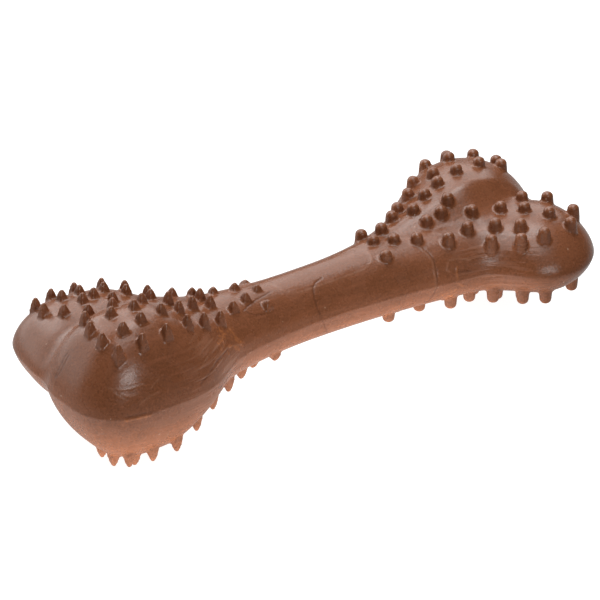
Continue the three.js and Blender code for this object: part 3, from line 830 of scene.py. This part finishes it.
def finish_piece(name, mesh, node, material):
    """Moves a piece into the row frame and says what it rides on, replaces and is made of."""
    mesh.name = name
    corners = (corners_of(mesh) + ROW_SHIFT) * MM
    mesh.vertices.foreach_set("co", corners.astype(np.float32).ravel())
    mesh.polygons.foreach_set("use_smooth", np.ones(len(mesh.polygons), bool))
    mesh.set_sharp_from_angle(angle=math.radians(SHARP_ANGLE))
    mesh.materials.clear()
    mesh.materials.append(material)
    mesh.update()
    piece = object_of(name, mesh)
    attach(piece, "root")
    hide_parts(node)


# Rubber

def rubber_material():
    """Brown rubber: cloudy, grainy and drawn, streaked on two flanks, dusted, and tinted along its lines,
    with painted shade in the cuts and a painted highlight on the raised lines.
    """
    made = bpy.data.materials.new("chocolate_rubber")
    made.use_nodes = True
    tree = made.node_tree
    add, link = tree.nodes.new, tree.links.new
    shader = tree.nodes["Principled BSDF"]
    shader.inputs["Specular IOR Level"].default_value = RUBBER_SPECULAR
    place = add("ShaderNodeTexCoord").outputs["Object"]

    def noise(vector, scale, detail):
        node = add("ShaderNodeTexNoise")
        node.inputs["Scale"].default_value = scale
        node.inputs["Detail"].default_value = detail
        link(vector, node.inputs["Vector"])
        return node.outputs["Fac"]

    def stretched_noise(scale):
        node = add("ShaderNodeMapping")
        node.inputs["Scale"].default_value = scale
        link(place, node.inputs["Vector"])
        return noise(node.outputs["Vector"], *STRETCHED_NOISE)

    def toned(colour, other, share):
        node = add("ShaderNodeMix")
        node.data_type = "RGBA"
        link(share, node.inputs["Factor"])
        sockets = {socket.identifier: socket for socket in node.inputs}
        for label, value in (("A_Color", colour), ("B_Color", other)):
            feed(tree, sockets[label], value + (1,) if isinstance(value, tuple) else value)
        return next(socket for socket in node.outputs if socket.identifier == "Result_Color")

    def tint(label):
        node = add("ShaderNodeAttribute")
        node.attribute_name = label
        return node.outputs["Fac"]

    def round_place(centre, reach):
        """One at a place on the bone, fading to nothing at its reach."""
        node = add("ShaderNodeVectorMath")
        node.operation = "DISTANCE"
        link(place, node.inputs[0])
        node.inputs[1].default_value = (np.array(centre) + ROW_SHIFT) * MM
        return spread(tree, node.outputs["Value"], STREAK_FULL * reach * MM, reach * MM, 1.0, 0.0)

    def part_of(value, share):
        return sum_of(tree, "MULTIPLY", value, share)

    colour = toned(RUBBER_DEEP, RUBBER_LIGHT, spread(tree, noise(place, *CLOUD_NOISE), *CLOUD_RANGE))
    grain = noise(place, *GRAIN_NOISE)
    colour = toned(colour, RUBBER_GRAIN, spread(tree, grain, *GRAIN_LIGHT_RANGE))
    colour = toned(colour, RUBBER_DARK_GRAIN_AND_GROOVE_SHADE, spread(tree, grain, *GRAIN_DARK_RANGE))
    flanks = sum_of(tree, "MAXIMUM", *[round_place(*flank) for flank in STREAK_FLANKS])
    streaks = part_of(spread(tree, stretched_noise(STREAK_SCALE), *STREAK_RANGE), flanks)
    colour = toned(colour, RUBBER_STREAK, part_of(streaks, STREAK_TINT))
    drawn = stretched_noise(DRAWN_SCALE)
    colour = toned(colour, RUBBER_GRAIN, spread(tree, drawn, *DRAWN_RANGE))
    dots = add("ShaderNodeTexVoronoi")
    dots.inputs["Scale"].default_value = DUST_SCALE
    link(place, dots.inputs["Vector"])
    colour = toned(colour, RUBBER_DUST, spread(tree, dots.outputs["Distance"], *DUST_RANGE))
    # The dark tint lays painted shade along the cut lines and the light tint a painted highlight along the
    # raised lines; the flash tint is the flash's own orange
    for label, (_, shade, share) in TINTS.items():
        colour = toned(colour, shade, part_of(tint(label), share))
    link(colour, shader.inputs["Base Color"])
    sheen = spread(tree, noise(place, *SHEEN_NOISE), *ROUGHNESS_RANGE)
    link(sum_of(tree, "ADD", sheen, part_of(streaks, STREAK_ROUGHNESS)), shader.inputs["Roughness"])
    bump = add("ShaderNodeBump")
    bump.inputs["Strength"].default_value = BUMP_STRENGTH
    bump.inputs["Distance"].default_value = BUMP_HEIGHT
    rough = sum_of(tree, "ADD", part_of(grain, GRAIN_BUMP), part_of(streaks, STREAK_BUMP))
    link(sum_of(tree, "ADD", rough, part_of(drawn, DRAWN_BUMP)), bump.inputs["Height"])
    link(bump.outputs["Normal"], shader.inputs["Normal"])
    return made


# Floor, light and camera

def studio_floor():
    """A grey floor that glows near the bone, as a light table does, and is plain white to the camera."""
    square = FLOOR_HALF * np.array([[-1, -1, 0], [1, -1, 0], [1, 1, 0], [-1, 1, 0]], float)
    mesh = mesh_of("floor", square, [[0, 1, 2, 3]])
    floor = object_of("floor", mesh)
    paint = bpy.data.materials.new("floor_white")
    paint.use_nodes = True
    tree = paint.node_tree
    add, link = tree.nodes.new, tree.links.new
    shader = tree.nodes["Principled BSDF"]
    shader.inputs["Base Color"].default_value = (FLOOR_GREY, FLOOR_GREY, FLOOR_GREY, 1)
    shader.inputs["Roughness"].default_value = 1.0
    shader.inputs["Specular IOR Level"].default_value = 0.0
    ray = add("ShaderNodeLightPath").outputs
    squeezed = add("ShaderNodeVectorMath")
    squeezed.operation = "MULTIPLY_ADD"
    squeezed.inputs[1].default_value = (POOL_SQUEEZE, 1.0, 0.0)
    squeezed.inputs[2].default_value = (-POOL_SQUEEZE * POOL_MIDDLE[0], -POOL_MIDDLE[1], 0.0)
    link(add("ShaderNodeTexCoord").outputs["Object"], squeezed.inputs[0])
    away = add("ShaderNodeVectorMath")
    away.operation = "LENGTH"
    link(squeezed.outputs[0], away.inputs[0])

    def pool(edge, strength):
        return spread(tree, away.outputs["Value"], *edge, strength, 0.0)

    def chosen(share, plain, other):
        node = add("ShaderNodeMix")
        node.data_type = "FLOAT"
        link(share, node.inputs["Factor"])
        feed(tree, node.inputs["A"], plain)
        feed(tree, node.inputs["B"], other)
        return node.outputs["Result"]

    clear = sum_of(tree, "MAXIMUM", ray["Is Camera Ray"], ray["Is Transmission Ray"])
    glow = chosen(ray["Is Glossy Ray"], pool(POOL_EDGE, POOL_LIGHT), pool(SHINE_EDGE, POOL_SHINE))
    shader.inputs["Emission Color"].default_value = (1, 1, 1, 1)
    link(chosen(clear, glow, FLOOR_WHITE), shader.inputs["Emission Strength"])
    mesh.materials.append(paint)


def studio_world():
    """A white backdrop to the camera, and a dark room to everything else."""
    world = bpy.data.worlds.new("studio")
    bpy.context.scene.world = world
    world.use_nodes = True
    tree = world.node_tree
    back = tree.nodes["Background"]
    back.inputs["Color"].default_value = (1, 1, 1, 1)
    path = tree.nodes.new("ShaderNodeLightPath")
    tree.links.new(path.outputs["Is Camera Ray"], back.inputs["Strength"])


def direction(azimuth, lift):
    """From the bone towards an azimuth from the front and a lift over the floor, both in degrees."""
    around, over = math.radians(azimuth), math.radians(lift)
    level = math.cos(over)
    return Vector((math.sin(around) * level, -math.cos(around) * level, math.sin(over)))


def soft_lamp(name, azimuth, lift, distance, width, depth, power):
    """A soft lamp that faces the bone, round if it has no depth."""
    lamp = bpy.data.lights.new(name, "AREA")
    lamp.shape = "RECTANGLE" if depth else "DISK"
    lamp.size = width
    if depth:
        lamp.size_y = depth
    lamp.energy = power
    made = object_of(name, lamp)
    made.location = direction(azimuth, lift) * distance
    made.rotation_euler = (Vector(LAMP_TARGET) - made.location).to_track_quat("-Z", "Y").to_euler()


def photo_camera():
    """The camera of the photograph, as it was fitted to the outline of the bone."""
    roll = math.radians(CAMERA_ROLL)
    target = (np.array(CAMERA_TARGET) + ROW_SHIFT) * MM
    back = direction(CAMERA_AZIMUTH, CAMERA_LIFT)
    right = (-back).cross(Vector((0, 0, 1))).normalized()
    up = right.cross(-back)
    across = right * math.cos(roll) + up * math.sin(roll)
    upward = up * math.cos(roll) - right * math.sin(roll)
    lens = bpy.data.cameras.new("photo_camera")
    lens.sensor_fit = "HORIZONTAL"
    lens.sensor_width = CAMERA_SENSOR
    lens.lens = CAMERA_LENS
    lens.clip_end = CAMERA_CLIP_END
    camera = object_of("photo_camera", lens)
    turn = Matrix((across, upward, back)).transposed().to_4x4()
    camera.matrix_world = Matrix.Translation(Vector(target) + back * CAMERA_DISTANCE) @ turn
    bpy.context.scene.camera = camera


# The bone

rubber = rubber_material()
shared_sizes = {"Root depth": ROOT_DEPTH, "Turn": TOOTH_TURN, "Seed": SEED}
spike_sizes = {
    "Tip width": SPIKE_TIP, "Shoulder width": SPIKE_SHOULDER, "Foot width": SPIKE_FOOT,
    "Root width": SPIKE_ROOT, "Face height": SPIKE_FACE_HEIGHT, **shared_sizes,
}
stud_sizes = {
    "Top width": STUD_TOP, "Foot width": STUD_FOOT, "Root width": STUD_ROOT,
    "Face height": STUD_FACE_HEIGHT, "Dome": STUD_DOME, **shared_sizes,
}
spike_rule = (SPIKE_RISE, "spiked_near", "spiked_far", SPIKED_CREASE_Y)
stud_rule = (STUD_RISE, "studded_near", "studded_far", STUDDED_CREASE_Y)
spikes = rows_of(
    "spike_rows", SPIKE_PLACES, SPIKE_UNDERSIDE_SHIFT, spike_rule, SPIKE_FACE_HEIGHT,
    spike_shape, spike_sizes, rubber)
studs = rows_of(
    "stud_rows", STUD_PLACES, STUD_UNDERSIDE_SHIFT, stud_rule, None,
    stud_shape, stud_sizes, rubber)
body = mesh_of("body", *body_skin())
skin = one_skin([body, spikes, studs])
corners = corners_of(skin)
press_panel(corners)
raise_parting_edge(corners)
# Each tint is stored on the corners: painted shade along the cut lines, a painted highlight along the raised
# lines, and the flash's own orange
for tint, strength in press_marks(corners).items():
    skin.attributes.new(tint, "FLOAT", "POINT").data.foreach_set("value", strength.astype(np.float32))
skin.vertices.foreach_set("co", corners.astype(np.float32).ravel())
skin.update()

left = cut(skin, (SPIKED_SEAM_X, 0, 0), (1, 0, 0))
rest = cut(skin, (SPIKED_SEAM_X, 0, 0), (-1, 0, 0))
middle = cut(rest, (STUDDED_SEAM_X, 0, 0), (1, 0, 0))
right = cut(rest, (STUDDED_SEAM_X, 0, 0), (-1, 0, 0))
finish_piece("shaft_rubber", middle, "shaft", rubber)
for name, node, end, crease, facing in (
        ("spiked_near_rubber", "spiked_near_lobe", left, SPIKED_CREASE_Y, 1),
        ("spiked_far_rubber", "spiked_far_lobe", left, SPIKED_CREASE_Y, -1),
        ("studded_near_rubber", "studded_near_lobe", right, STUDDED_CREASE_Y, 1),
        ("studded_far_rubber", "studded_far_lobe", right, STUDDED_CREASE_Y, -1)):
    finish_piece(name, cut(end, (0, crease, 0), (0, facing, 0)), node, rubber)
for mesh in (skin, left, rest, right, spikes, studs, body):
    bpy.data.meshes.remove(mesh)

studio_floor()
studio_world()
for lamp in LAMPS:
    soft_lamp(*lamp)
photo_camera()
bpy.context.scene.view_settings.view_transform = "Standard"
